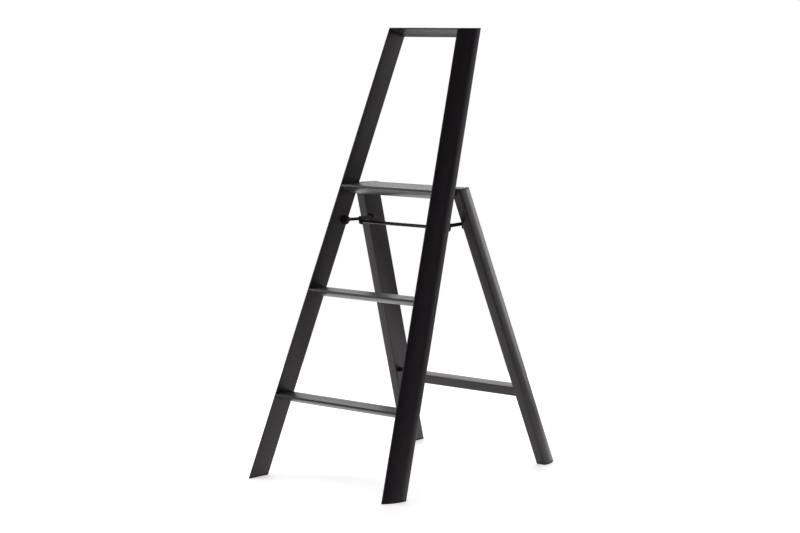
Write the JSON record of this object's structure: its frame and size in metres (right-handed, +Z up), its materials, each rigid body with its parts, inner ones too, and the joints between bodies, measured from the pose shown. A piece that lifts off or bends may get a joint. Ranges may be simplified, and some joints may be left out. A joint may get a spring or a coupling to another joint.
{
  "type": "folding step ladder",
  "caption": "Slim folding step ladder in satin black with D-section rails, flat grooved steps, a hand hoop above the platform and rear legs that fold flat.",
  "frame": {"origin": "on the floor, midway between the front and rear feet and between the two sides, ladder open", "axes": "+Z up, +X to the right of a person facing the steps, +Y from the steps towards the rear legs"},
  "size_m": [0.5002, 0.6966, 1.15],
  "materials": {
    "satin_black": "satin black coating on extruded aluminium",
    "black_plastic": "fine moulded texture",
    "rubber": "matte",
    "steel": "zinc plated",
    "black_steel": "blackened steel"
  },
  "bodies": {
    "front_frame": {"left_rail": "satin_black", "right_rail": "satin_black", "top_rail": "satin_black", "lower_tread": "satin_black", "middle_tread": "satin_black", "platform": "satin_black", "left_lower_tread_insert": "black_plastic", "right_lower_tread_insert": "black_plastic", "left_middle_tread_insert": "black_plastic", "right_middle_tread_insert": "black_plastic", "left_platform_insert": "black_plastic", "right_platform_insert": "black_plastic", "left_lower_tread_screw_1": "steel", "left_lower_tread_screw_2": "steel", "right_lower_tread_screw_1": "steel", "right_lower_tread_screw_2": "steel", "left_middle_tread_screw_1": "steel", "left_middle_tread_screw_2": "steel", "right_middle_tread_screw_1": "steel", "right_middle_tread_screw_2": "steel", "left_platform_screw_1": "steel", "left_platform_screw_2": "steel", "right_platform_screw_1": "steel", "right_platform_screw_2": "steel", "left_platform_cap": "black_plastic", "right_platform_cap": "black_plastic", "left_hinge_pin": "steel", "right_hinge_pin": "steel", "left_hinge_washer": "black_plastic", "right_hinge_washer": "black_plastic", "left_front_foot": "rubber", "right_front_foot": "rubber", "left_front_boss": "black_plastic", "right_front_boss": "black_plastic", "left_front_pivot_rivet": "black_steel", "right_front_pivot_rivet": "black_steel"},
    "rear_frame": {"left_leg": "satin_black", "right_leg": "satin_black", "left_leg_cap": "black_plastic", "right_leg_cap": "black_plastic", "left_rear_foot": "rubber", "right_rear_foot": "rubber", "rear_brace": "satin_black", "left_brace_insert": "black_plastic", "right_brace_insert": "black_plastic", "left_brace_screw": "steel", "right_brace_screw": "steel"},
    "lock_bar": {"left_front_link": "black_plastic", "right_front_link": "black_plastic", "cross_bar": "satin_black", "left_knee_pin": "black_steel", "right_knee_pin": "black_steel"},
    "rear_links": {"left_rear_link": "black_plastic", "right_rear_link": "black_plastic", "left_rear_boss": "black_plastic", "right_rear_boss": "black_plastic"}
  },
  "joints": [
    {"name": "rear_fold", "type": "hinge", "parent": "front_frame", "child": "rear_frame", "pos_m": [0, 0.04331, 0.7338], "axis": [1, 0, 0], "range_deg": [-40.6, 0]},
    {"name": "lock_bar_lift", "type": "hinge", "parent": "front_frame", "child": "lock_bar", "pos_m": [0, -0.05247, 0.6523], "axis": [1, 0, 0], "range_deg": [0, 77.6]},
    {"name": "knee_fold", "type": "hinge", "parent": "lock_bar", "child": "rear_links", "pos_m": [0, 0, 0.6508], "axis": [1, 0, 0], "range_deg": [-124.47, 0]}
  ],
  "couplings": [
    {"joint": "lock_bar_lift", "follows": "rear_fold", "ratio": -1.9114},
    {"joint": "knee_fold", "follows": "rear_fold", "ratio": 3.0658}
  ]
}
